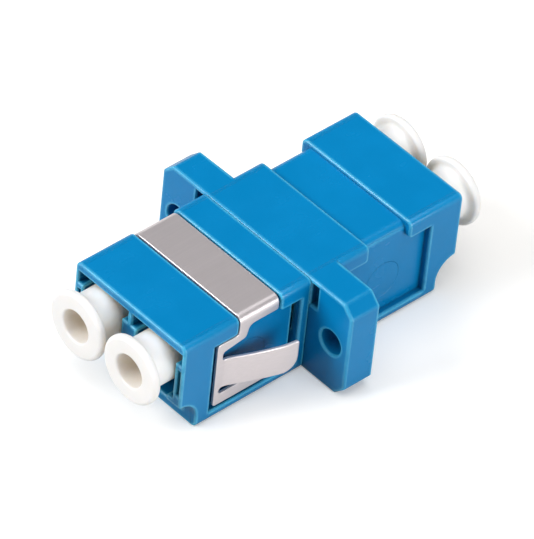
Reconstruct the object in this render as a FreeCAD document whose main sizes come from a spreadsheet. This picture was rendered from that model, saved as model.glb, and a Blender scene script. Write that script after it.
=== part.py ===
import FreeCAD, Part
import Sketcher
import os
import re

# Duplex panel adapter for LC fibre plugs: two moulded shells welded at the flange's front face, a
# sleeve holder in two halves and a split sleeve for each channel, a steel spring clip round the
# front shell, and a dust cap in each of the four ports.
# Millimetres. X runs along the optical axes and points to the rear, Y to the left, Z up. The
# origin is on the underside, in the middle of the flange.

SIZE_TABLE = [
    # shells
    ("body_length", 29.4, "end face to end face"),
    ("side_wall", 0.95, "from a port's channel to the side"),
    ("roof_wall", 0.825, "from a port's channel to the roof, which is as high as the flange"),
    ("top_round", 0.5, "radius along the roof's long edges"),
    ("bottom_round", 0.5, "radius along the underside's long edges"),
    ("end_round", 0.16, "radius round each end face"),
    ("flange_thickness", 3.0, "along X"),
    ("ear_end", 2.0, "from a screw hole's centre to the ear's end"),
    ("flange_chamfer", 1.0, "on the ears' corners"),
    ("flange_round", 0.2, "radius round the flange's front face"),
    ("screw_pitch", 18.0, "between the two screw holes"),
    ("screw_hole", 2.3, "diameter of a screw hole"),
    ("relief_out", 0.8, "width of the relief beside the body, in the flange's front face"),
    ("relief_height", 2.2, "along Z"),
    ("relief_drop", 0.4, "from the roof down to the relief"),
    ("relief_in", 0.7, "depth of that relief"),
    # ports
    ("port_pitch", 6.25, "between the two optical axes"),
    ("axis_height", 6.3, "optical axes above the underside"),
    ("port_width", 4.55, "square channel for a plug's body"),
    ("floor_thickness", 0.9, "wall under the latch space"),
    ("mouth_depth", 2.6, "from the end face to the latch shoulders"),
    ("lip_width", 0.6, "how far each of the two lips at the mouth stands in"),
    ("lip_drop", 0.325, "from the channel's floor down to the lips"),
    ("latch_depth", 5.7, "from the end face to the end of the latch space"),
    ("ledge_side", 0.625, "how far the mouth is wider under the roof, on each side"),
    ("ledge_drop", 1.175, "height of that wide part"),
    ("ledge_depth", 2.4, "depth of that part"),
    ("groove_wall", 0.28, "wall between a port and the groove beside it"),
    ("groove_width", 0.34, "groove in the end of a side wall"),
    ("groove_below", 2.1, "from the optical axis down to that groove's end"),
    ("groove_above", 0.5, "from the optical axis up to its other end"),
    ("groove_depth", 1.4, "depth of that groove"),
    ("scallop_radius", 1.9, "finger notch under each end"),
    ("scallop_height", 1.2, "height of the notch's centre"),
    # seat for the spring clip, the same on both shells
    ("side_recess", 0.65, "depth of a side pocket"),
    ("pocket_low", 0.9, "bottom of a side pocket"),
    ("pocket_drop", 1.6, "from the roof down to a side pocket"),
    ("pocket_start", 0.9, "wall between the flange and a pocket"),
    ("pocket_stop", 3.25, "wall between a pocket and the end face"),
    ("tab_slot_width", 0.32, "slot in the front shell's pockets, beside the flange"),
    ("tab_slot_depth", 0.4, "depth of that slot, which opens into the channel"),
    ("band_recess", 0.32, "depth of the band's seat in the roof"),
    ("band_start", 3.12, "wall between the flange and the band's seat"),
    ("band_width", 4.43, "the seat along X"),
    ("band_round", 0.7, "radius on the seat's two shoulders"),
    ("seat_corner", 0.3, "radius where the band's seat opens into a pocket"),
    # spring clip
    ("clip_thickness", 0.3, "sheet"),
    ("clip_play", 0.27, "between the clip's side plates and the shell"),
    ("clip_gap", 0.18, "between the band's edges and the shell, and over a side plate"),
    ("clip_end_gap", 0.45, "between a side plate and the pocket's outer end"),
    ("clip_low_gap", 0.27, "between a side plate and the pocket's bottom"),
    ("clip_round", 0.7, "outside radius of the two upper folds"),
    ("stub_drop", 1.3, "from the roof down to the band's lower edge at the sides"),
    ("stub_length", 2.95, "length of that edge"),
    ("stub_round", 0.6, "radius at its end"),
    ("neck_run", 0.3, "how far the neck's edge runs along X while it comes down"),
    ("neck_drop", 2.45, "from the roof down to the neck's lower edge"),
    ("neck_round", 0.35, "radius where that edge starts"),
    ("root_drop", 2.8, "from the roof down to the neck's lower edge where it meets the bar"),
    ("bar_width", 0.6, "upright bar at the clip's outer end"),
    ("strip_height", 1.08, "lower strip, along Z"),
    ("strip_length", 5.5, "lower strip, from the clip's outer end"),
    ("corner_round", 0.22, "radius on the clip's other corners"),
    ("wing_root", 0.2, "from the bar to a wing's fold"),
    ("slot_width", 0.6, "between a wing and the lower strip"),
    ("slit_width", 0.85, "between a wing and the neck, at the bar"),
    ("wing_length", 5.25, "fold to knee"),
    ("wing_tip", 1.2, "knee to tip"),
    ("wing_angle", 20.0, "degrees that a wing stands out"),
    ("tip_angle", 8.0, "degrees that its tip stands out"),
    ("wing_bend", 1.2, "inside radius of the knee"),
    ("tip_round", 1.3, "radius on the lower corner of a wing's tip"),
    ("tip_corner", 0.15, "radius on the upper one"),
    ("fold_play", 0.02, "running gap round a wing's fold"),
    # sleeve holders and split sleeves
    ("holder_plate", 1.0, "thickness of the plate of one holder half"),
    ("holder_step", 0.275, "how far that square plate is wider than the channel, on each side"),
    ("holder_play", 0.05, "plate to seat on each side, and rim to seat"),
    ("tube_wall", 0.52, "of a holder's tube"),
    ("tube_lip", 0.6, "end wall that keeps the sleeve in"),
    ("lip_mouth", 1.4, "diameter of the hole in that wall, at the sleeve"),
    ("lip_flare", 0.4, "how far that hole widens outward, radial"),
    ("sleeve_inner", 1.25, "diameter, for a ferrule"),
    ("sleeve_wall", 0.175, "of a split sleeve"),
    ("sleeve_length", 6.8, "along X"),
    ("sleeve_slit", 0.3, "slit along the top"),
    ("sleeve_play", 0.03, "sleeve to holder, radial"),
    # dust caps
    ("stem_play", 0.115, "cap's stem to channel, on each side"),
    ("cap_overlap", 0.55, "length of the stem that goes over the holder's tube"),
    ("disc_gap", 0.25, "between the discs of two neighbours"),
    ("disc_thickness", 0.75, "along X"),
    ("cap_standoff", 1.95, "end face to the back of the disc"),
    ("cap_wall", 0.71, "of the stem, round the blind hole in its outer end"),
    ("cap_web", 0.8, "wall between that hole and the inner bore"),
    ("cap_clearance", 0.1, "inner bore to tube, radial, and at the tube's end"),
    ("disc_round", 0.25, "radius on the disc's edges"),
    ("neck_flat", 0.24, "flat ring on the disc's back, between its round and the neck's"),
    ("stem_lead", 0.3, "chamfer at the stem's inner end"),
    # cutting solids
    ("overrun", 1.0, "how far a cutting solid stands past the face that it opens"),
]

doc = FreeCAD.newDocument("lc_duplex_adapter")
sheet = doc.addObject("Spreadsheet::Sheet", "Sizes")
for row, (alias, value, note) in enumerate(SIZE_TABLE, start=1):
    sheet.set("A%d" % row, alias)
    sheet.set("B%d" % row, str(value))
    sheet.set("C%d" % row, note)
    sheet.setAlias("B%d" % row, alias)
doc.recompute()
ALIAS = re.compile(r"\b(%s)\b" % "|".join(alias for alias, value, note in SIZE_TABLE))


def shifted(place, change):
    """Formula for a place moved by another formula."""
    return "(%s %s)" % (place, change)


# Places that several features share, each a formula on the sizes. Both shells, the clip and the
# holders are drawn with +X pointing outward from the flange. Those at the front are then turned
# half a turn about Z, which maps their left side to the right, so both sides are the same.
SPLIT = "flange_thickness / 2"
END = "body_length / 2"
MOUTH = "(body_length / 2 + overrun)"
CHANNEL_SIDE = "(port_pitch / 2 + port_width / 2)"
CHANNEL_ROOF = "(axis_height + port_width / 2)"
CHANNEL_FLOOR = "(axis_height - port_width / 2)"
SIDE = shifted(CHANNEL_SIDE, "+ side_wall")
OUTSIDE = shifted(SIDE, "+ overrun")
SEAT_SIDE = shifted(SIDE, "- side_recess")
TOP = shifted(CHANNEL_ROOF, "+ roof_wall")
SEAT_TOP = shifted(TOP, "- band_recess")
POCKET_TOP = shifted(TOP, "- pocket_drop")
POCKET_START = "(flange_thickness / 2 + pocket_start)"
POCKET_STOP = "(body_length / 2 - pocket_stop)"
BAND_START = "(flange_thickness / 2 + band_start)"
BAND_STOP = "(flange_thickness / 2 + band_start + band_width)"
CLIP_IN = shifted(SEAT_SIDE, "+ clip_play")
CLIP_OUT = shifted(CLIP_IN, "+ clip_thickness")
CLIP_TOP = shifted(SEAT_TOP, "+ clip_thickness")
CLIP_END = shifted(POCKET_STOP, "- clip_end_gap")
BAR = shifted(CLIP_END, "- bar_width")
STUB_LOW = shifted(TOP, "- stub_drop")
STRIP_LOW = "(pocket_low + clip_low_gap)"
STRIP_TOP = "(pocket_low + clip_low_gap + strip_height)"
WING_LOW = shifted(STRIP_TOP, "+ slot_width")
WING_TOP = shifted(TOP, "- root_drop - slit_width")
WING_HEIGHT = "(%s - %s)" % (WING_TOP, WING_LOW)
FOLD_X = shifted(BAR, "- wing_root")
FOLD_Y = shifted(CLIP_IN, "+ clip_thickness / 2")
HOLDER_WIDTH = "(port_width + 2 * holder_step)"
SLEEVE_OUTER = "(sleeve_inner + 2 * sleeve_wall)"
TUBE_OUTER = "(sleeve_inner + 2 * (sleeve_wall + sleeve_play + tube_wall))"
TUBE_END = "(sleeve_length / 2 + tube_lip)"
CAP_STEM = "(port_width - 2 * stem_play)"
NECK_ROUND = "((port_pitch - disc_gap - %s) / 2 - disc_round - neck_flat)" % CAP_STEM

HALF_TURN = FreeCAD.Rotation(FreeCAD.Vector(0, 0, 1), 180)
ALONG_X = FreeCAD.Rotation(FreeCAD.Vector(0, 0, 1), FreeCAD.Vector(1, 0, 0))
ALONG_Y = FreeCAD.Rotation(FreeCAD.Vector(0, 0, 1), FreeCAD.Vector(0, 1, 0))
ALONG_Z = FreeCAD.Rotation()
LEFT_RIGHT = (("left", 1), ("right", -1))


def bind(feature, path, text):
    """Tie a property to a formula on the sheet's sizes."""
    feature.setExpression(path, ALIAS.sub(r"Sizes.\1", text))


def place(feature, rotation, x, y, z):
    feature.Placement = FreeCAD.Placement(FreeCAD.Vector(0, 0, 0), rotation)
    for letter, text in zip("xyz", (x, y, z)):
        bind(feature, "Placement.Base." + letter, text)


def new_body(name, rotation=ALONG_Z, x="0", y="0", z="0"):
    body = doc.addObject("PartDesign::Body", name)
    body.Label = name
    place(body, rotation, x, y, z)
    return body


def block(body, name, x, y, z, kind="Subtractive"):
    """Box between two formulas along each axis."""
    feature = body.newObject("PartDesign::%sBox" % kind, name)
    for path, (low, high) in zip(("Length", "Width", "Height"), (x, y, z)):
        bind(feature, path, "(%s) - (%s)" % (high, low))
    place(feature, ALONG_Z, x[0], y[0], z[0])
    return feature


def rod(body, name, rotation, start, length, diameter, kind="Subtractive"):
    """Cylinder from a start point."""
    feature = body.newObject("PartDesign::%sCylinder" % kind, name)
    place(feature, rotation, *start)
    bind(feature, "Radius", "(%s) / 2" % diameter)
    bind(feature, "Height", length)
    return feature


def soften(body, name, size, wanted, kind="Fillet"):
    """Fillet or chamfer on those edges of the body so far that wanted() picks."""
    doc.recompute()
    base = body.Tip
    edges = enumerate(base.Shape.Edges, start=1)
    picked = ["Edge%d" % i for i, edge in edges if wanted(edge, base.Shape.BoundBox)]
    feature = body.newObject("PartDesign::" + kind, name)
    feature.Base = (base, picked)
    bind(feature, "Radius" if kind == "Fillet" else "Size", size)
    return feature


def near(value, target):
    return abs(value - target) < 1e-4


def flat_in(edge, letter, value):
    """True if the whole edge lies at this x, y or z."""
    box = edge.BoundBox
    low = getattr(box, letter + "Min")
    high = getattr(box, letter + "Max")
    return near(low, value) and near(high, value)


def along(edge, letter):
    """True if the edge is straight and parallel to this axis."""
    box = edge.BoundBox
    others = [getattr(box, other + "Length") for other in "XYZ" if other != letter]
    return max(others) < 1e-4


def span(side, low, high):
    """Range of y on the left, or its mirror image on the right."""
    if side > 0:
        return (low, high)
    return ("-(%s)" % high, "-(%s)" % low)


def about(centre, width):
    """Range of the given width about a centre."""
    return ("%s - (%s) / 2" % (centre, width), "%s + (%s) / 2" % (centre, width))


def polygon(body, name, plane, offset, corners):
    """Closed sketch on an origin plane moved along its normal, with every corner bound."""
    sketch = body.newObject("Sketcher::SketchObject", name)
    support = [item for item in body.Origin.OriginFeatures if item.Role == plane][0]
    sketch.AttachmentSupport = [(support, "")]
    sketch.MapMode = "FlatFace"
    bind(sketch, "AttachmentOffset.Base.z", offset)
    count = len(corners)
    turn = FreeCAD.Rotation(FreeCAD.Vector(0, 0, 1), 360.0 / count)
    points = [FreeCAD.Vector(1, 0, 0)]
    for i in range(count):
        points.append(turn.multVec(points[-1]))
        sketch.addGeometry(Part.LineSegment(points[i], points[i + 1]), False)
    for i in range(count):
        sketch.addConstraint(Sketcher.Constraint("Coincident", i, 2, (i + 1) % count, 1))
    for i, (x, y) in enumerate(corners):
        for kind, start, text in (("DistanceX", points[i].x, x), ("DistanceY", points[i].y, y)):
            index = sketch.addConstraint(Sketcher.Constraint(kind, -1, 1, i, 1, start))
            bind(sketch, "Constraints[%d]" % index, text)
    return sketch


def pad(body, name, sketch, length):
    feature = body.newObject("PartDesign::Pad", name)
    feature.Profile = sketch
    bind(feature, "Length", length)
    return feature


def shell(name, rotation, carries_flange):
    """One moulded half. Drawn with +X outward; the flange belongs to the rear one."""
    body = new_body(name, rotation)
    start = "-(%s)" % SPLIT if carries_flange else SPLIT
    block(body, name + "_core", (start, END), ("-" + SIDE, SIDE), ("0", TOP), "Additive")
    soften(body, name + "_top_rounds", "top_round",
           lambda edge, box: along(edge, "X") and flat_in(edge, "Z", box.ZMax))
    soften(body, name + "_bottom_rounds", "bottom_round",
           lambda edge, box: along(edge, "X") and flat_in(edge, "Z", box.ZMin))
    soften(body, name + "_end_round", "end_round",
           lambda edge, box: flat_in(edge, "X", box.XMax))
    if carries_flange:
        flange(body, name)
    else:
        for label, side in LEFT_RIGHT:
            centre = "%d * port_pitch / 2" % side
            block(body, "%s_rim_%s" % (name, label), ("holder_plate", SPLIT),
                  about(centre, HOLDER_WIDTH), about("axis_height", HOLDER_WIDTH), "Additive")
    for label, side in LEFT_RIGHT:
        port(body, "%s_%s" % (name, label), side, carries_flange)
        clip_seat(body, "%s_%s" % (name, label), side)
    across = ("-" + OUTSIDE, OUTSIDE)
    rod(body, name + "_scallop", ALONG_Y, (END, "-" + OUTSIDE, "scallop_height"),
        "2 * " + OUTSIDE, "2 * scallop_radius")
    block(body, name + "_scallop_foot", ("%s - scallop_radius" % END, MOUTH), across,
          ("-overrun", "scallop_height"))
    roof_seat = block(body, name + "_band_seat", (BAND_START, BAND_STOP), across,
                      (SEAT_TOP, TOP + " + overrun"))
    doc.recompute()
    seat = roof_seat.Placement.Base
    seat_stop = seat.x + roof_seat.Length.Value
    soften(body, name + "_shoulders", "band_round",
           lambda edge, box: along(edge, "X") and flat_in(edge, "Z", seat.z)
           and near(edge.BoundBox.XMin, seat.x))
    pocket_top = doc.getObject(name + "_left_band_side").Placement.Base.z
    soften(body, name + "_seat_corners", "seat_corner",
           lambda edge, box: along(edge, "Y") and flat_in(edge, "Z", pocket_top)
           and (near(edge.BoundBox.XMin, seat.x) or near(edge.BoundBox.XMin, seat_stop)))
    if not carries_flange:
        for label, side in LEFT_RIGHT:
            block(body, "%s_tab_slot_%s" % (name, label),
                  (POCKET_START, POCKET_START + " + tab_slot_width"),
                  span(side, SEAT_SIDE + " - tab_slot_depth", OUTSIDE), ("pocket_low", POCKET_TOP))
    return body


def flange(body, name):
    block(body, name + "_flange", ("-(%s)" % SPLIT, SPLIT),
          about("0", "screw_pitch + 2 * ear_end"), ("0", TOP), "Additive")
    soften(body, name + "_ear_chamfers", "flange_chamfer",
           lambda edge, box: along(edge, "X") and near(abs(edge.BoundBox.YMin), box.YMax),
           "Chamfer")
    soften(body, name + "_flange_round", "flange_round",
           lambda edge, box: flat_in(edge, "X", box.XMin))
    for label, side in LEFT_RIGHT:
        rod(body, "%s_screw_%s" % (name, label), ALONG_X,
            ("-%s - overrun" % SPLIT, "%d * screw_pitch / 2" % side, TOP + " / 2"),
            "flange_thickness + 2 * overrun", "screw_hole")
        block(body, "%s_relief_%s" % (name, label),
              ("-%s - overrun" % SPLIT, "-%s + relief_in" % SPLIT),
              span(side, SIDE, SIDE + " + relief_out"),
              (TOP + " - relief_drop - relief_height", TOP + " - relief_drop"))


def port(body, name, side, has_holder_seat):
    """Channel for one plug, with the space for its latch underneath."""
    centre = "%d * port_pitch / 2" % side
    channel = about(centre, "port_width")
    block(body, name + "_channel", ("holder_plate - overrun", MOUTH), channel,
          about("axis_height", "port_width"))
    if has_holder_seat:
        seat = HOLDER_WIDTH + " + 2 * holder_play"
        block(body, name + "_holder_seat", ("-%s - overrun" % SPLIT, "holder_plate"),
              about(centre, seat), about("axis_height", seat))
    shoulder = "%s - mouth_depth" % END
    block(body, name + "_latch_space", ("%s - latch_depth" % END, shoulder), channel,
          ("floor_thickness", "axis_height"))
    block(body, name + "_latch_slot", (shoulder, MOUTH),
          about(centre, "port_width - 2 * lip_width"), ("floor_thickness", "axis_height"))
    block(body, name + "_mouth", (shoulder, MOUTH), channel,
          (CHANNEL_FLOOR + " - lip_drop", "axis_height"))
    block(body, name + "_ledges", ("%s - ledge_depth" % END, MOUTH),
          about(centre, "port_width + 2 * ledge_side"), (CHANNEL_ROOF + " - ledge_drop", CHANNEL_ROOF))
    wall = CHANNEL_SIDE + " + groove_wall"
    block(body, name + "_groove", ("%s - groove_depth" % END, MOUTH),
          span(side, wall, wall + " + groove_width"),
          ("axis_height - groove_below", "axis_height + groove_above"))


def clip_seat(body, name, side):
    """Pocket in the side wall, open upward where the clip's band comes down."""
    depth = span(side, SEAT_SIDE, OUTSIDE)
    block(body, name + "_pocket", (POCKET_START, POCKET_STOP), depth, ("pocket_low", POCKET_TOP))
    block(body, name + "_band_side", (BAND_START, BAND_STOP), depth,
          (POCKET_TOP, TOP + " + overrun"))


def sleeve_holder(name, rotation, side):
    """Half of a holder: a square plate at the flange's middle and a tube pointing outward."""
    body = new_body(name, rotation, "0", "%d * port_pitch / 2" % side, "axis_height")
    block(body, name + "_plate", ("0", "holder_plate"), about("0", HOLDER_WIDTH),
          about("0", HOLDER_WIDTH), "Additive")
    rod(body, name + "_tube", ALONG_X, ("0", "0", "0"), TUBE_END, TUBE_OUTER, "Additive")
    rod(body, name + "_bore", ALONG_X, ("-overrun", "0", "0"), "overrun + sleeve_length / 2",
        "(%s + 2 * sleeve_play)" % SLEEVE_OUTER)
    mouth = body.newObject("PartDesign::SubtractiveCone", name + "_mouth")
    place(mouth, ALONG_X, "sleeve_length / 2", "0", "0")
    bind(mouth, "Radius1", "lip_mouth / 2")
    bind(mouth, "Radius2", "lip_mouth / 2 + lip_flare")
    bind(mouth, "Height", "tube_lip")
    return body


def split_sleeve(name, side):
    body = new_body(name, ALONG_Z, "0", "%d * port_pitch / 2" % side, "axis_height")
    rod(body, name + "_tube", ALONG_X, ("-sleeve_length / 2", "0", "0"), "sleeve_length",
        SLEEVE_OUTER, "Additive")
    rod(body, name + "_bore", ALONG_X, ("-sleeve_length / 2 - overrun", "0", "0"),
        "sleeve_length + 2 * overrun", "sleeve_inner")
    block(body, name + "_slit", about("0", "sleeve_length + 2 * overrun"),
          about("0", "sleeve_slit"), ("0", SLEEVE_OUTER))
    return body


def spring_clip(name):
    """Folded sheet: a band over the roof, with a pierced plate down each side."""
    body = new_body(name, HALF_TURN)
    band = (BAND_START + " + clip_gap", BAND_STOP + " - clip_gap")
    block(body, name + "_band", band, ("-" + CLIP_OUT, CLIP_OUT), (STUB_LOW, CLIP_TOP), "Additive")
    soften(body, name + "_outer_folds", "clip_round",
           lambda edge, box: along(edge, "X") and flat_in(edge, "Z", box.ZMax))
    inside = block(body, name + "_inside", (BAND_START, BAND_STOP), ("-" + CLIP_IN, CLIP_IN),
                   (STUB_LOW + " - overrun", SEAT_TOP))
    doc.recompute()
    ceiling = inside.Placement.Base.z + inside.Height.Value
    soften(body, name + "_inner_folds", "clip_round - clip_thickness",
           lambda edge, box: along(edge, "X") and flat_in(edge, "Z", ceiling))
    fold_foot = CLIP_TOP + " - clip_round"
    stub_end = band[0] + " + stub_length"
    plate_top = POCKET_TOP + " - clip_gap"
    outline = [
        (band[0], fold_foot),
        (band[0], STUB_LOW),
        (stub_end, STUB_LOW),
        (stub_end + " + neck_run", TOP + " - neck_drop"),
        (BAR, TOP + " - root_drop"),
        (BAR, STRIP_TOP),
        (CLIP_END + " - strip_length", STRIP_TOP),
        (CLIP_END + " - strip_length", STRIP_LOW),
        (CLIP_END, STRIP_LOW),
        (CLIP_END, plate_top),
        (band[1], plate_top),
        (band[1], fold_foot),
    ]
    rounds = (("stub", "stub_round", (2,)), ("neck", "neck_round", (3,)),
              ("corner", "corner_round", (1, 4, 5, 6, 7, 8, 9, 10)))
    for label, side in LEFT_RIGHT:
        offset = "-" + CLIP_OUT if side > 0 else CLIP_IN
        sketch = polygon(body, "%s_outline_%s" % (name, label), "XZ_Plane", offset, outline)
        pad(body, "%s_plate_%s" % (name, label), sketch, "clip_thickness")
        doc.recompute()
        corners = [line.StartPoint for line in sketch.Geometry]
        for part, size, chosen in rounds:
            soften(body, "%s_%s_%s" % (name, part, label), size,
                   lambda edge, box: along(edge, "Y") and edge.BoundBox.YMin * side > 0 and any(
                       near(edge.BoundBox.XMin, corners[i].x)
                       and near(edge.BoundBox.ZMin, corners[i].y) for i in chosen))
        block(body, "%s_root_%s" % (name, label), (FOLD_X, BAR), span(side, CLIP_IN, CLIP_OUT),
              (WING_LOW, WING_TOP), "Additive")
        rod(body, "%s_fold_%s" % (name, label), ALONG_Z,
            (FOLD_X, "%d * %s" % (side, FOLD_Y), WING_LOW + " - overrun / 4"),
            WING_HEIGHT + " + overrun / 2", "(clip_thickness + 2 * fold_play)")
    return body


def clip_wing(name, side):
    """Bent strip that turns about its fold."""
    body = new_body(name, ALONG_Z, "-" + FOLD_X, "%d * %s" % (side, FOLD_Y), WING_LOW)
    half = "clip_thickness / 2"
    knee = ("wing_length * cos(wing_angle)", "wing_length * sin(wing_angle)")
    end = ("%s + wing_tip * cos(tip_angle)" % knee[0], "%s + wing_tip * sin(tip_angle)" % knee[1])
    mitre = half + " / cos((wing_angle - tip_angle) / 2)"
    stations = ((("0", "0"), half, "wing_angle"), (knee, mitre, "((wing_angle + tip_angle) / 2)"),
                (end, half, "tip_angle"))

    def edge_point(station, sign):
        """Corner of the strip: the station's point moved across the strip."""
        (x, y), reach, angle = station
        across = "(%s %s %s * cos(%s))" % (y, sign, reach, angle)
        return ("%s %s -(%s * sin(%s))" % (x, sign, reach, angle), "%d * %s" % (side, across))

    outline = [edge_point(station, "+") for station in stations]
    outline += [edge_point(station, "-") for station in reversed(stations)]
    sketch = polygon(body, name + "_profile", "XY_Plane", "0", outline)
    pad(body, name + "_strip", sketch, WING_HEIGHT)
    doc.recompute()
    outer_knee, inner_knee = sketch.Geometry[1].StartPoint, sketch.Geometry[4].StartPoint
    soften(body, name + "_inner_bend", "wing_bend",
           lambda edge, box: along(edge, "Z") and near(edge.BoundBox.XMin, inner_knee.x))
    soften(body, name + "_outer_bend", "wing_bend + clip_thickness",
           lambda edge, box: along(edge, "Z") and near(edge.BoundBox.XMin, outer_knee.x))
    tip = [sketch.Geometry[i].StartPoint.x for i in (2, 3)]
    for part, size, top in (("tip_round", "tip_round", False), ("tip_corner", "tip_corner", True)):
        soften(body, "%s_%s" % (name, part), size,
               lambda edge, box: near(edge.BoundBox.XMin, min(tip))
               and near(edge.BoundBox.XMax, max(tip))
               and flat_in(edge, "Z", box.ZMax if top else box.ZMin))
    rod(body, name + "_fold", ALONG_Z, ("0", "0", "0"), WING_HEIGHT, "clip_thickness",
        "Additive")
    return body


def dust_cap(name, rotation, side):
    """Hollow stem that fills a port and covers the holder's tube, with a disc outside."""
    body = new_body(name, rotation, "0", "%d * port_pitch / 2" % side, "axis_height")
    stem_start = "%s - cap_overlap" % TUBE_END
    back = "%s + cap_standoff" % END
    web = "(%s + cap_clearance)" % TUBE_END
    stem = rod(body, name + "_stem", ALONG_X, (stem_start, "0", "0"),
               "%s - (%s)" % (back, stem_start), CAP_STEM, "Additive")
    soften(body, name + "_lead", "stem_lead",
           lambda edge, box: flat_in(edge, "X", box.XMin), "Chamfer")
    disc = rod(body, name + "_disc", ALONG_X, (back, "0", "0"), "disc_thickness",
               "(port_pitch - disc_gap)", "Additive")
    soften(body, name + "_disc_rounds", "disc_round",
           lambda edge, box: near(edge.BoundBox.ZLength, box.ZLength)
           and near(edge.BoundBox.XLength, 0))
    doc.recompute()
    soften(body, name + "_neck", NECK_ROUND,
           lambda edge, box: flat_in(edge, "X", disc.Placement.Base.x)
           and near(edge.BoundBox.ZLength, 2 * stem.Radius.Value))
    rod(body, name + "_hole", ALONG_X, ("%s + cap_web" % web, "0", "0"),
        "%s + disc_thickness + overrun - %s - cap_web" % (back, web), "(%s - 2 * cap_wall)" % CAP_STEM)
    rod(body, name + "_bore", ALONG_X, ("%s - overrun" % stem_start, "0", "0"),
        "%s - (%s) + overrun" % (web, stem_start), "(%s + 2 * cap_clearance)" % TUBE_OUTER)
    return body


bodies = [
    shell("front_shell", HALF_TURN, False),
    shell("rear_shell", ALONG_Z, True),
    spring_clip("spring_clip"),
]
for label, side in LEFT_RIGHT:
    bodies.append(clip_wing("clip_wing_" + label, side))
    bodies.append(split_sleeve("split_sleeve_" + label, side))
    for end, rotation in (("front", HALF_TURN), ("rear", ALONG_Z)):
        bodies.append(sleeve_holder("sleeve_holder_%s_%s" % (end, label), rotation, side))
        bodies.append(dust_cap("dust_cap_%s_%s" % (end, label), rotation, side))
doc.recompute()

for item in doc.Objects:
    if "Invalid" in item.State or "Error" in item.State:
        raise RuntimeError("%s did not build" % item.Name)
for body in bodies:
    shape = body.Shape
    if shape.isNull() or not shape.isValid() or len(shape.Solids) != 1:
        raise RuntimeError("%s is not one valid solid" % body.Label)

os.makedirs("parts", exist_ok=True)
for body in bodies:
    body.Shape.exportStep("parts/%s.step" % body.Label)
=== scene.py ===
"""Duplex panel adapter for LC fibre plugs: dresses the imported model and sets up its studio."""
import bmesh
import bpy
import math
from bpy.props import FloatProperty, FloatVectorProperty, PointerProperty
from bpy.types import Operator, Panel, PropertyGroup
from mathutils import Matrix, Vector


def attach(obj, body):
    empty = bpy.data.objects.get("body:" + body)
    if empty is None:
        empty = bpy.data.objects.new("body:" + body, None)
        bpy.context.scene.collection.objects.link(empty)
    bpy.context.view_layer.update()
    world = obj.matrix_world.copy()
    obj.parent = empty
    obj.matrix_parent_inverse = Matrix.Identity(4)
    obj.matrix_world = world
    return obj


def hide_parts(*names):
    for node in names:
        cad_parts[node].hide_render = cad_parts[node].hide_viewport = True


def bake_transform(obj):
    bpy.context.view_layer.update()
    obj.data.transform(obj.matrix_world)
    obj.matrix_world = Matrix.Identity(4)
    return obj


bl_info = {
    "name": "Fibre adapter look",
    "version": (1, 0, 0),
    "blender": (4, 5, 0),
    "location": "3D View > Sidebar > Fibre adapter",
    "description": "Housing, spring clip, dust caps and studio for a duplex fibre adapter",
    "category": "Object",
}

MM = 0.001
# In mm: from the middle to a port's axis, and from the underside up to it.
PORT_SIDE = 3.125
AXIS_HEIGHT = 6.3
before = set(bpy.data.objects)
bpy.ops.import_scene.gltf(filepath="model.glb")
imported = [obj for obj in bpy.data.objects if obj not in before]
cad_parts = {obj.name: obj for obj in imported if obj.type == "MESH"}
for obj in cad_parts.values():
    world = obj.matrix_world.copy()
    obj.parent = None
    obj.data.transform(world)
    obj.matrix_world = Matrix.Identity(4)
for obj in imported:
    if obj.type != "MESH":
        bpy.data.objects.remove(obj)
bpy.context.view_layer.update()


# --- materials ---------------------------------------------------------------------------------

class Wire:
    """A shader socket that can be used in arithmetic; each operation adds its Math node."""

    def __init__(self, finish, socket):
        self.finish = finish
        self.socket = socket

    def maths(self, operation, *others, first=None):
        values = [self if first is None else first] + list(others)
        named = {index: value for index, value in enumerate(values)}
        return self.finish.node("ShaderNodeMath", {"operation": operation}, named)

    def __add__(self, other):
        return self.maths("ADD", other)

    def __sub__(self, other):
        return self.maths("SUBTRACT", other)

    def __rsub__(self, other):
        return self.maths("SUBTRACT", self, first=other)

    def __mul__(self, other):
        return self.maths("MULTIPLY", other)

    def __pow__(self, other):
        return self.maths("POWER", other)

    __radd__ = __add__
    __rmul__ = __mul__

    def band(self, low, high):
        """0 below low, 1 above high and smooth between."""
        settings = {"interpolation_type": "SMOOTHSTEP"}
        return self.finish.node("ShaderNodeMapRange", settings,
                                {"Value": self, "From Min": low, "From Max": high})


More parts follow.
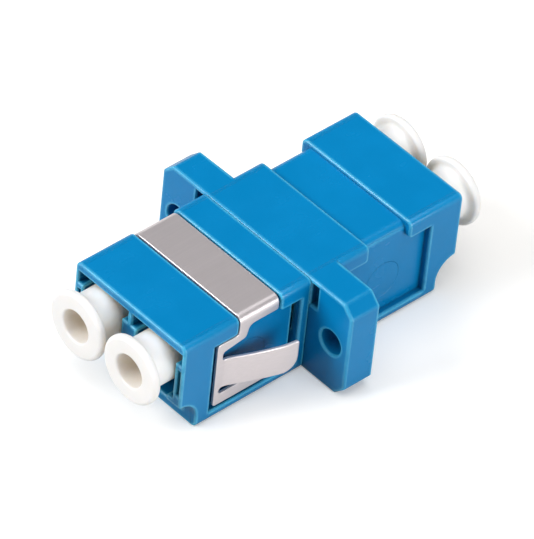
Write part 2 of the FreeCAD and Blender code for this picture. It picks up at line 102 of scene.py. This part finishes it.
class Finish:
    """A material's or world's node tree and the one way that nodes get into it."""

    def __init__(self, owner, output="ShaderNodeOutputMaterial"):
        self.owner = owner
        owner.use_nodes = True
        self.tree = owner.node_tree
        self.tree.nodes.clear()
        self.output = self.tree.nodes.new(output)

    def node(self, kind, settings=None, sockets=None, out=0):
        node = self.tree.nodes.new(kind)
        for key, value in (settings or {}).items():
            setattr(node, key, value)
        for key, value in (sockets or {}).items():
            if isinstance(value, Wire):
                self.tree.links.new(value.socket, node.inputs[key])
            else:
                node.inputs[key].default_value = value
        return Wire(self, node.outputs[out])

    def mix(self, amount, first, second):
        """Colour mix; inputs 6 and 7 are the two colours."""
        return self.node("ShaderNodeMix", {"data_type": "RGBA"},
                         {0: amount, 6: first, 7: second}, out=2)

    def light_path(self):
        """1 for rays from the camera, off gloss and through glass."""
        return [self.node("ShaderNodeLightPath", out=index) for index in (0, 3, 6)]

    def place(self, scale=(1.0, 1.0, 1.0)):
        """Position on the part, stretched for streaks."""
        where = self.node("ShaderNodeTexCoord", out=3)
        return self.node("ShaderNodeMapping", {"vector_type": "POINT"},
                         {"Vector": where, "Scale": scale})

    def noise(self, scale, detail=3.0, roughness=0.55, stretch=(1.0, 1.0, 1.0)):
        return self.node("ShaderNodeTexNoise", {"noise_dimensions": "3D"},
                         {"Vector": self.place(stretch), "Scale": scale, "Detail": detail,
                          "Roughness": roughness})

    def shelter(self, distance, inside=False):
        """0 in the open and nearly 1 deep in a recess; from inside, it finds outer edges."""
        open_sky = self.node("ShaderNodeAmbientOcclusion", {"samples": 4, "inside": inside},
                             {"Distance": distance}, out=1)
        return 1.0 - open_sky

    def bump(self, height, strength, distance, normal=None):
        sockets = {"Strength": strength, "Distance": distance, "Height": height}
        if normal is not None:
            sockets["Normal"] = normal
        return self.node("ShaderNodeBump", None, sockets)

    def surface(self, shader):
        self.tree.links.new(shader.socket, self.output.inputs["Surface"])
        return self.owner


def rgba(colour):
    return (colour[0], colour[1], colour[2], 1.0)


def tint(colour, factor):
    return tuple(min(1.0, channel * factor) for channel in colour[:3]) + (1.0,)


def housing_finish(name, colour, rough, wear_and_highlight):
    """Moulded blue plastic: mottled gloss, fine mould texture, flow marks, paler edges (partly
    wear, partly a painted highlight) and painted shade in recesses and low down.
    """
    finish = Finish(bpy.data.materials.new(name))
    broad = finish.noise(260.0, 2.0)
    fine = finish.noise(9000.0, 2.0, 0.5)
    flow = finish.noise(500.0, 3.0, 0.6, (0.25, 1.0, 1.0))
    mottle = finish.mix(broad.band(0.35, 0.7) * 0.6, tint(colour, 0.95), tint(colour, 1.04))
    shade = finish.mix(fine.band(0.3, 0.7) * 0.1, mottle, tint(colour, 0.82))
    # Painted shade: the colour darkens deep in tight recesses, and more broadly in corners and
    # towards the floor.
    shade = finish.mix(finish.shelter(0.0015).band(0.25, 0.85) * 0.8, shade, tint(colour, 0.22))
    shade = finish.mix(finish.shelter(0.008).band(0.3, 0.8) * 0.6, shade, tint(colour, 0.4))
    # Outer edges turn pale cyan: partly wear, partly a painted highlight. The same mask also
    # thickens the clear coat there.
    worn_and_highlit_edges = finish.shelter(0.0003, True).band(0.04, 0.3) * (flow.band(0.3, 0.6) * 0.3 + 0.7)
    shade = finish.mix(worn_and_highlit_edges * wear_and_highlight, shade, (0.12, 0.72, 0.95, 1.0))
    normal = finish.bump(fine, 0.06, 0.00001)
    normal = finish.bump(ejector_mark(finish), 1.0, 0.00006, normal)
    return finish.surface(finish.node("ShaderNodeBsdfPrincipled", None, {
        "Base Color": shade,
        "Roughness": broad * 0.1 + flow * 0.06 + (rough - 0.08),
        "IOR": 1.34,
        "Coat Weight": worn_and_highlit_edges * 0.45,
        "Coat IOR": 1.8,
        "Coat Roughness": 0.32,
        "Normal": normal,
    }))


# Ejector mark in mm: its centre along X and Z, the radii of its step, and the depths between
# which a pocket's floor lies.
EJECTOR_CENTRE = (7.15, 4.0)
EJECTOR_STEP = (1.72, 1.82)
POCKET_NEAR, POCKET_FAR = (5.6, 5.62), (5.78, 5.8)


def ejector_mark(finish):
    """Round mark of an ejector pin in the middle of each side pocket, a shallow step."""
    where = finish.node("ShaderNodeTexCoord", out=3)
    x, y, z = (finish.node("ShaderNodeSeparateXYZ", None, {"Vector": where}, out=i)
               for i in range(3))
    across = (x.maths("ABSOLUTE") - EJECTOR_CENTRE[0] * MM) ** 2.0
    away = (across + (z - EJECTOR_CENTRE[1] * MM) ** 2.0).maths("SQRT")
    depth = y.maths("ABSOLUTE")
    on_floor, past_floor, step = (wire.band(low * MM, high * MM) for wire, (low, high) in (
        (depth, POCKET_NEAR), (depth, POCKET_FAR), (away, EJECTOR_STEP)))
    return step * (on_floor * (1.0 - past_floor))


def steel_finish(name, colour, rough):
    """Rolled spring steel: fine streaks along the strip and a few soft marks."""
    finish = Finish(bpy.data.materials.new(name))
    streaks = finish.noise(900.0, 4.0, 0.65, (0.12, 6.0, 6.0))
    cloud = finish.noise(300.0, 2.0)
    shade = finish.mix(streaks.band(0.25, 0.75), tint(colour, 0.98), tint(colour, 1.02))
    shade = finish.mix(cloud.band(0.55, 0.8) * 0.3, shade, tint(colour, 0.92))
    return finish.surface(finish.node("ShaderNodeBsdfPrincipled", None, {
        "Base Color": shade,
        "Metallic": 0.7,
        "Roughness": streaks * 0.06 + (rough - 0.03),
        "Normal": finish.bump(streaks, 0.04, 0.00001),
    }))


def cap_finish(name, colour, rough):
    """Soft off-white plastic that lets a little light through, with painted shade in deep hollows
    such as the cap's hole, which turn warm beige.
    """
    finish = Finish(bpy.data.materials.new(name))
    cloud = finish.noise(420.0, 3.0)
    fine = finish.noise(6500.0, 2.0)
    shade = finish.mix(cloud.band(0.35, 0.75) * 0.5, rgba(colour), tint(colour, 0.965))
    # Painted shade: the colour turns a darker warm beige deep inside hollows.
    shade = finish.mix(finish.shelter(0.003).band(0.4, 0.9) * 0.8, shade, (0.86, 0.7, 0.5, 1.0))
    return finish.surface(finish.node("ShaderNodeBsdfPrincipled", None, {
        "Base Color": shade,
        "Roughness": cloud * 0.1 + (rough - 0.05),
        "Subsurface Weight": 0.4,
        "Subsurface Radius": (1.0, 0.85, 0.7),
        "Subsurface Scale": 0.0012,
        "Normal": finish.bump(fine, 0.06, 0.00001),
    }))


def ceramic_finish(name, colour):
    """Polished zirconia with a slight cloudiness."""
    finish = Finish(bpy.data.materials.new(name))
    cloud = finish.noise(800.0, 2.0)
    shade = finish.mix(cloud * 0.4, rgba(colour), tint(colour, 0.94))
    return finish.surface(finish.node("ShaderNodeBsdfPrincipled", None, {
        "Base Color": shade,
        "Roughness": cloud * 0.06 + 0.12,
        "Normal": finish.bump(cloud, 0.03, 0.00001),
    }))


def dress(piece, material):
    piece.data.materials.clear()
    piece.data.materials.append(material)


# --- meshes ------------------------------------------------------------------------------------

SHARP = 34.0


def mark_edges(name, attribute, kind, angle_name):
    """Modifier tree that marks the edges whose angle, in degrees, is more than SHARP."""
    group = bpy.data.node_groups.new(name, "GeometryNodeTree")
    for way in ("INPUT", "OUTPUT"):
        group.interface.new_socket("Geometry", in_out=way, socket_type="NodeSocketGeometry")
    start, end = (group.nodes.new(node) for node in ("NodeGroupInput", "NodeGroupOutput"))
    angle = group.nodes.new("GeometryNodeInputMeshEdgeAngle")
    sharp = group.nodes.new("FunctionNodeCompare")
    sharp.data_type = "FLOAT"
    sharp.operation = "GREATER_THAN"
    sharp.inputs["B"].default_value = math.radians(SHARP)
    store = group.nodes.new("GeometryNodeStoreNamedAttribute")
    store.data_type = kind
    store.domain = "EDGE"
    store.inputs["Name"].default_value = attribute
    group.links.new(angle.outputs[angle_name], sharp.inputs["A"])
    group.links.new(sharp.outputs[0], store.inputs["Value"])
    group.links.new(start.outputs[0], store.inputs["Geometry"])
    group.links.new(store.outputs["Geometry"], end.inputs[0])
    return group


def soften(piece, outer, inner, radius):
    """Small radius on the edges of a piece that stand out; its inner corners stay sharp."""
    weld = piece.modifiers.new("weld", "WELD")
    weld.merge_threshold = 0.001 * MM
    plain = piece.modifiers.new("plain", "DECIMATE")
    plain.decimate_type = "DISSOLVE"
    plain.angle_limit = math.radians(0.5)
    piece.modifiers.new("triangles", "TRIANGULATE").ngon_method = "BEAUTY"
    piece.modifiers.new("outer", "NODES").node_group = outer
    edges = piece.modifiers.new("edges", "BEVEL")
    edges.width = radius
    edges.segments = 3
    edges.limit_method = "WEIGHT"
    edges.use_clamp_overlap = False
    edges.loop_slide = False
    piece.modifiers.new("inner", "NODES").node_group = inner
    normals = piece.modifiers.new("normals", "WEIGHTED_NORMAL")
    normals.weight = 100
    normals.keep_sharp = True


def rounded(corners, step=18.0):
    """Outline in a plane; each corner is (x, y, radius), each arc goes by steps in degrees."""
    outline = []
    for index, (x, y, radius) in enumerate(corners):
        here = Vector((x, y))
        if not radius:
            outline.append(here)
            continue
        back = (Vector(corners[index - 1][:2]) - here).normalized()
        ahead = (Vector(corners[(index + 1) % len(corners)][:2]) - here).normalized()
        half = back.angle(ahead) / 2.0
        centre = here + (back + ahead).normalized() * (radius / math.sin(half))
        reach = radius / math.tan(half)
        first = here + back * reach - centre
        last = here + ahead * reach - centre
        start = math.atan2(first.y, first.x)
        turn = (math.atan2(last.y, last.x) - start + math.pi) % math.tau - math.pi
        count = max(2, round(abs(math.degrees(turn)) / step))
        for k in range(count + 1):
            angle = start + turn * k / count
            outline.append(centre + radius * Vector((math.cos(angle), math.sin(angle))))
    return outline


def finished(name, built, material):
    """Object from built geometry, shaded smooth with its large faces kept flat."""
    bmesh.ops.recalc_face_normals(built, faces=built.faces[:])
    mesh = bpy.data.meshes.new(name)
    built.to_mesh(mesh)
    built.free()
    normals = [Vector() for vertex in mesh.vertices]
    for face in mesh.polygons:
        face.use_smooth = True
        for index in face.vertices:
            normals[index] += face.normal * face.area ** 2
    mesh.normals_split_custom_set_from_vertices([normal.normalized() for normal in normals])
    mesh.materials.append(material)
    piece = bpy.data.objects.new(name, mesh)
    bpy.context.scene.collection.objects.link(piece)
    return piece


def turned(name, profile, material, segments=80):
    """Body of revolution about X; the profile is (x, radius) from the axis round to the axis."""
    built = bmesh.new()
    rings = []
    for x, radius in profile:
        if radius < 0.001 * MM:
            rings.append([built.verts.new((x, 0.0, 0.0))])
            continue
        rings.append([built.verts.new((x, radius * math.cos(math.tau * k / segments),
                                       radius * math.sin(math.tau * k / segments)))
                      for k in range(segments)])
    for first, second in zip(rings, rings[1:]):
        for k in range(segments):
            ring = [first[k % len(first)], first[(k + 1) % len(first)],
                    second[(k + 1) % len(second)], second[k % len(second)]]
            corners = list(dict.fromkeys(ring))
            if len(corners) > 2:
                built.faces.new(corners)
    return finished(name, built, material)


def folded(name, outline, thickness, edge, seam, cuts, place, material):
    """Sheet part: cut flat, its edges broken except along the seam, then bent by place."""
    built = bmesh.new()
    face = built.faces.new([built.verts.new((u, v, -thickness / 2)) for u, v in outline])
    made = bmesh.ops.extrude_face_region(built, geom=[face])
    lifted = [item for item in made["geom"] if isinstance(item, bmesh.types.BMVert)]
    bmesh.ops.translate(built, verts=lifted, vec=(0.0, 0.0, thickness))
    rims = [rim for rim in built.edges
            if abs(rim.verts[0].co.z - rim.verts[1].co.z) < edge / 10
            and min(corner.co.y for corner in rim.verts) < seam]
    bmesh.ops.bevel(built, geom=rims, offset=edge, segments=2, profile=0.6, affect="EDGES")
    ends = [wall for wall in built.faces if min(corner.co.y for corner in wall.verts) > seam]
    bmesh.ops.delete(built, geom=ends, context="FACES_ONLY")
    bmesh.ops.triangulate(built, faces=built.faces[:])
    for spot, direction in cuts:
        bmesh.ops.bisect_plane(built, geom=built.verts[:] + built.edges[:] + built.faces[:],
                               plane_co=spot, plane_no=direction)
    for vertex in built.verts:
        vertex.co = place(*vertex.co)
    return finished(name, built, material)


# --- stage -------------------------------------------------------------------------------------

def camera_basis(azimuth, elevation, roll):
    """Right, up and back directions of the camera."""
    a, e, r = (math.radians(angle) for angle in (azimuth, elevation, roll))
    back = Vector((-math.cos(a) * math.cos(e), -math.sin(a) * math.cos(e), math.sin(e)))
    right = (-back).cross(Vector((0.0, 0.0, 1.0))).normalized()
    up = right.cross(-back)
    rolled = right * math.cos(r) + up * math.sin(r)
    return rolled, up * math.cos(r) - right * math.sin(r), back


def softbox(name, towards, width, level):
    """Far, soft lamp, width degrees wide; level is what it gives a white card that faces it."""
    data = bpy.data.lights.new(name, "SUN")
    data.angle = math.radians(width)
    data.energy = level * math.pi
    lamp = bpy.data.objects.new(name, data)
    bpy.context.scene.collection.objects.link(lamp)
    lamp.location = Vector(towards) * 0.3
    lamp.rotation_mode = "QUATERNION"
    lamp.rotation_quaternion = Vector(towards).to_track_quat("Z", "Y")
    return lamp


class StageLook(PropertyGroup):
    azimuth: FloatProperty(name="Azimuth", description="Camera's angle from -X towards -Y",
                           default=43.51)
    elevation: FloatProperty(name="Elevation", description="Camera's height angle", default=42.41)
    roll: FloatProperty(name="Roll", description="Camera's tilt about its own axis", default=6.32)
    distance: FloatProperty(name="Distance", description="Camera to target",
                            default=0.54885, unit="LENGTH")
    lens: FloatProperty(name="Lens", description="Focal length in millimetres", default=467.07)
    target: FloatVectorProperty(name="Target", description="Point that the camera looks at",
                                default=(0.00018, 0.00018, 0.0047), subtype="XYZ",
                                unit="LENGTH", precision=5)
    floor: FloatVectorProperty(name="Floor", description="Colour of the floor",
                               default=(0.66, 0.645, 0.625), subtype="COLOR")
    paper: FloatVectorProperty(name="Paper", description="Colour of the floor in direct sight",
                               default=(1.0, 0.985, 0.96), subtype="COLOR")
    glow: FloatProperty(name="Glow", description="Floor's own light in sight only", default=0.25)
    left: FloatProperty(name="Left", description="Level of the left softbox", default=0.78)
    right: FloatProperty(name="Right", description="Level of the right softbox", default=0.65)
    overhead: FloatProperty(name="Overhead", description="Level of the softbox above",
                            default=0.5)
    ambient: FloatProperty(name="Ambient", description="Level of the room", default=0.04)


# The floor's half width, and how far it lies below the adapter so that they don't flicker.
FLOOR_HALF = 3.0
FLOOR_DROP = 0.02 * MM


class FIBRE_OT_stage(Operator):
    """Floor, lamps, world and camera"""
    bl_idname = "fibre.stage"
    bl_label = "Stage"

    def execute(self, context):
        look = context.scene.fibre_stage
        scene = context.scene
        right, up, back = camera_basis(look.azimuth, look.elevation, look.roll)
        data = bpy.data.cameras.new("camera")
        data.lens = look.lens
        data.clip_start, data.clip_end = 0.01, 5.0
        camera = bpy.data.objects.new("camera", data)
        scene.collection.objects.link(camera)
        place = Vector(look.target) + back * look.distance
        camera.matrix_world = Matrix.Translation(place) @ Matrix(
            (right, up, back)).transposed().to_4x4()
        scene.camera = camera

        mesh = bpy.data.meshes.new("floor")
        corners = ((-1, -1), (1, -1), (1, 1), (-1, 1))
        mesh.from_pydata([(x * FLOOR_HALF, y * FLOOR_HALF, -FLOOR_DROP) for x, y in corners],
                         [], [(0, 1, 2, 3)])
        floor = bpy.data.objects.new("floor", mesh)
        scene.collection.objects.link(floor)
        finish = Finish(bpy.data.materials.new("floor_paper"))
        camera_ray, glossy_ray, glass_ray = finish.light_path()
        seen = camera_ray + 0.5 * (glossy_ray + glass_ray)
        dress(floor, finish.surface(finish.node("ShaderNodeBsdfPrincipled", None, {
            "Base Color": finish.mix(camera_ray, rgba(look.floor), rgba(look.paper)),
            "Roughness": 1.0,
            "Specular IOR Level": 0.0,
            "Emission Color": seen * look.glow,
            "Emission Strength": 1.0,
        })))

        softbox("left_softbox", (-0.75, 0.44, 0.56), 34.0, look.left)
        softbox("right_softbox", (0.12, -0.97, 0.2), 44.0, look.right)
        softbox("overhead_softbox", (0.0, 0.0, 1.0), 64.0, look.overhead)

        sky = Finish(bpy.data.worlds.new("studio"), "ShaderNodeOutputWorld")
        direction = sky.node("ShaderNodeTexCoord", out=0)
        height = sky.node("ShaderNodeSeparateXYZ", None, {"Vector": direction}, out=2)
        camera_ray, glossy_ray, glass_ray = sky.light_path()
        pale = (1.0 - height.band(0.2, 0.5)) * (camera_ray + glossy_ray + glass_ray)
        scene.world = sky.surface(sky.node("ShaderNodeBackground", None, {
            "Color": pale * 0.9 + look.ambient, "Strength": 1.0}))
        scene.view_settings.view_transform = "Standard"
        return {"FINISHED"}


class HousingLook(PropertyGroup):
    colour: FloatVectorProperty(name="Colour", description="Colour of the moulded shells",
                                default=(0.0003, 0.24, 0.56), subtype="COLOR")
    roughness: FloatProperty(name="Roughness", description="Surface gloss of the shells",
                             default=0.26, min=0.0, max=1.0)
    edge: FloatProperty(name="Edge", description="Radius on the edges that stand out",
                        default=0.00013, unit="LENGTH", precision=5)
    # How much pale cyan goes on the outer edges: partly wear, partly a painted highlight.
    wear_and_highlight: FloatProperty(name="Wear", description="How pale the outer edges are", default=0.6)


class FIBRE_OT_housing(Operator):
    """Finish for both shells and a small radius on their edges"""
    bl_idname = "fibre.housing"
    bl_label = "Housing"

    def execute(self, context):
        look = context.scene.fibre_housing
        finish = housing_finish("housing_plastic", look.colour, look.roughness, look.wear_and_highlight)
        outer = mark_edges("outer_edges", "bevel_weight_edge", "FLOAT", "Signed Angle")
        inner = mark_edges("inner_edges", "sharp_edge", "BOOLEAN", "Unsigned Angle")
        for name in ("front_shell", "rear_shell"):
            dress(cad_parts[name], finish)
            soften(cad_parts[name], outer, inner, look.edge)
        return {"FINISHED"}


class FIBRE_OT_inside(Operator):
    """Finish for the sleeve holders and the split sleeves"""
    bl_idname = "fibre.inside"
    bl_label = "Holders and sleeves"

    def execute(self, context):
        holder = cap_finish("holder_plastic", (0.75, 0.74, 0.7), 0.45)
        sleeve = ceramic_finish("sleeve_ceramic", (0.86, 0.85, 0.8))
        for name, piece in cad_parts.items():
            if name.startswith("sleeve_holder"):
                dress(piece, holder)
            if name.startswith("split_sleeve"):
                dress(piece, sleeve)
        return {"FINISHED"}


class ClipLook(PropertyGroup):
    thickness: FloatProperty(name="Thickness", description="Sheet", default=0.0003,
                             unit="LENGTH", precision=5)
    edge: FloatProperty(name="Edge", description="Radius on the sheared edges",
                        default=0.00009, unit="LENGTH", precision=5)
    root: FloatProperty(name="Root", description="Degrees that a wing leaves its plate",
                        default=24.0)


# Half of the clip cut flat, in mm: along the side from the flange, and up the side and over the
# roof to its middle. The last number is the corner's radius.
CLIP_OUTLINE = (
    (4.8, 15.114, 0.0), (4.8, 8.1, 0.22), (7.75, 8.1, 0.6), (8.05, 6.95, 0.35),
    (10.4, 6.6, 0.3), (10.4, 5.75, 0.3), (3.75, 5.75, 0.15), (3.75, 2.85, 1.3),
    (10.5, 2.85, 0.27), (10.5, 2.25, 0.27), (5.5, 2.25, 0.22), (5.5, 1.17, 0.22),
    (11.0, 1.17, 0.22), (11.0, 7.62, 0.22), (8.87, 7.62, 0.22), (8.87, 15.114, 0.0),
)
# In mm: the wing's root along the side, the heights between which it lies, and the height in
# the flat beyond which nothing but the joint of both halves lies.
BAR = 10.4
WING = (2.6, 6.0)
SEAM = 15.11
# Wing's slope, as a share of its root's, at these distances in mm from the bar.
WING_SLOPE = ((0.0, 0.0), (0.9, 1.0), (5.0, 0.75), (5.9, 0.33), (9.0, 0.33))
WING_REACH, WING_STEP = 7.0, 0.05
# Fold at the roof: where it starts, its radius and its centre from the middle; then the side
# plate's middle from the adapter's middle.
FOLD_FOOT, FOLD_RADIUS, FOLD_SIDE, PLATE_MIDDLE = 8.68, 0.55, 5.57, 6.12


def wing_path(root):
    """Stations of a wing's middle line: distance, run towards the flange, stand-off, slope."""
    stations = [(0.0, 0.0, 0.0, 0.0)]
    while stations[-1][0] < WING_REACH:
        distance, run, out, slope = stations[-1]
        distance += WING_STEP
        for (d0, s0), (d1, s1) in zip(WING_SLOPE, WING_SLOPE[1:]):
            if d0 <= distance <= d1:
                share = (distance - d0) / (d1 - d0)
                share = share * share * (3.0 - 2.0 * share)
                slope = math.radians(root * (s0 + (s1 - s0) * share))
        stations.append((distance, run + WING_STEP * math.cos(slope),
                         out + WING_STEP * math.sin(slope), slope))
    return stations


def bend_clip(path, side):
    """Function that turns a point of the flat half clip, in mm, into its place in metres."""
    def place(along, up, out):
        outwards, x, y, z = PLATE_MIDDLE + out, along, 0.0, up
        if up > FOLD_FOOT:
            turn = min((up - FOLD_FOOT) / FOLD_RADIUS, math.pi / 2)
            rest = up - FOLD_FOOT - turn * FOLD_RADIUS
            outwards = FOLD_SIDE + (FOLD_RADIUS + out) * math.cos(turn) - rest
            z = FOLD_FOOT + (FOLD_RADIUS + out) * math.sin(turn)
        elif along < BAR and WING[0] < up < WING[1]:
            distance = BAR - along
            index = min(int(distance / WING_STEP), len(path) - 2)
            first, second = path[index], path[index + 1]
            share = (distance - first[0]) / WING_STEP
            run, off, slope = (a + (b - a) * share for a, b in zip(first[1:], second[1:]))
            x = BAR - run + out * math.sin(slope)
            outwards = PLATE_MIDDLE + off + out * math.cos(slope)
        return Vector((-x, side * outwards, z)) * MM
    return place


class FIBRE_OT_clip(Operator):
    """Spring clip in two halves that meet in the middle of the roof"""
    bl_idname = "fibre.clip"
    bl_label = "Spring clip"

    def execute(self, context):
        look = context.scene.fibre_clip
        steel = steel_finish("clip_steel", (0.82, 0.76, 0.775), 0.34)
        path = wing_path(look.root)
        cuts = [((0.0, FOLD_FOOT + FOLD_RADIUS * math.pi / 2 * k / 8, 0.0), (0.0, 1.0, 0.0))
                for k in range(9)]
        cuts += [((BAR - 0.25 * k, 0.0, 0.0), (1.0, 0.0, 0.0)) for k in range(27)]
        for side, label in ((1, "left"), (-1, "right")):
            piece = folded("clip_" + label, rounded(CLIP_OUTLINE), look.thickness / MM,
                           look.edge / MM, SEAM, cuts, bend_clip(path, side), steel)
            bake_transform(piece)
            if side > 0:
                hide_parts("spring_clip", "clip_wing_" + label)
            else:
                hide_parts("clip_wing_" + label)
        return {"FINISHED"}


class CapLook(PropertyGroup):
    colour: FloatVectorProperty(name="Colour", description="Colour of the dust caps",
                                default=(0.95, 0.93, 0.915), subtype="COLOR")
    face: FloatProperty(name="Face", description="Radius round the disc's outer face",
                        default=0.00034, unit="LENGTH", precision=5)
    mouth: FloatProperty(name="Mouth", description="Radius round the hole's mouth",
                         default=0.00018, unit="LENGTH", precision=5)


class FIBRE_OT_caps(Operator):
    """Dust caps, turned about their axes"""
    bl_idname = "fibre.caps"
    bl_label = "Dust caps"

    def execute(self, context):
        look = context.scene.fibre_caps
        white = cap_finish("cap_plastic", look.colour, 0.42)
        face, mouth = look.face / MM, look.mouth / MM
        # In mm: along X from the stem's inner end, out from the axis, and the corner's radius.
        corners = (
            (4.1, 0.0, 0.0), (4.1, 1.45, 0.08), (3.45, 1.45, 0.06), (3.45, 1.9, 0.12),
            (3.75, 2.16, 0.12), (16.65, 2.16, 0.35), (16.65, 3.0, 0.28), (17.4, 3.0, face),
            (17.4, 1.45, mouth), (4.9, 1.38, 0.25), (4.9, 0.0, 0.0),
        )
        profile = [(x * MM, radius * MM) for x, radius in rounded(corners, 12.0)]
        for end, way in (("front", -1), ("rear", 1)):
            for label, side in (("left", 1), ("right", -1)):
                name = "%s_%s" % (end, label)
                cap = turned("cap_" + name, [(way * x, radius) for x, radius in profile], white)
                axis = Vector((0.0, side * PORT_SIDE, AXIS_HEIGHT)) * MM
                cap.data.transform(Matrix.Translation(axis))
                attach(cap, "cap_" + name)
                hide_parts("dust_cap_" + name)
        return {"FINISHED"}


class FIBRE_PT_panel(Panel):
    """Steps of the adapter's look"""
    bl_idname = "FIBRE_PT_panel"
    bl_label = "Fibre adapter"
    bl_space_type = "VIEW_3D"
    bl_region_type = "UI"
    bl_category = "Fibre adapter"

    def draw(self, context):
        for step in STEPS:
            self.layout.operator(step.bl_idname)


STEPS = (FIBRE_OT_housing, FIBRE_OT_inside, FIBRE_OT_clip, FIBRE_OT_caps, FIBRE_OT_stage)
LOOKS = (("fibre_stage", StageLook), ("fibre_housing", HousingLook), ("fibre_clip", ClipLook),
         ("fibre_caps", CapLook))


def register():
    for name, look in LOOKS:
        bpy.utils.register_class(look)
        setattr(bpy.types.Scene, name, PointerProperty(type=look))
    for step in STEPS:
        bpy.utils.register_class(step)
    bpy.utils.register_class(FIBRE_PT_panel)


def unregister():
    bpy.utils.unregister_class(FIBRE_PT_panel)
    for step in reversed(STEPS):
        bpy.utils.unregister_class(step)
    for name, look in reversed(LOOKS):
        delattr(bpy.types.Scene, name)
        bpy.utils.unregister_class(look)


def main():
    register()
    bpy.ops.fibre.housing()
    bpy.ops.fibre.inside()
    bpy.ops.fibre.clip()
    bpy.ops.fibre.caps()
    bpy.ops.fibre.stage()


if __name__ == "__main__":
    main()
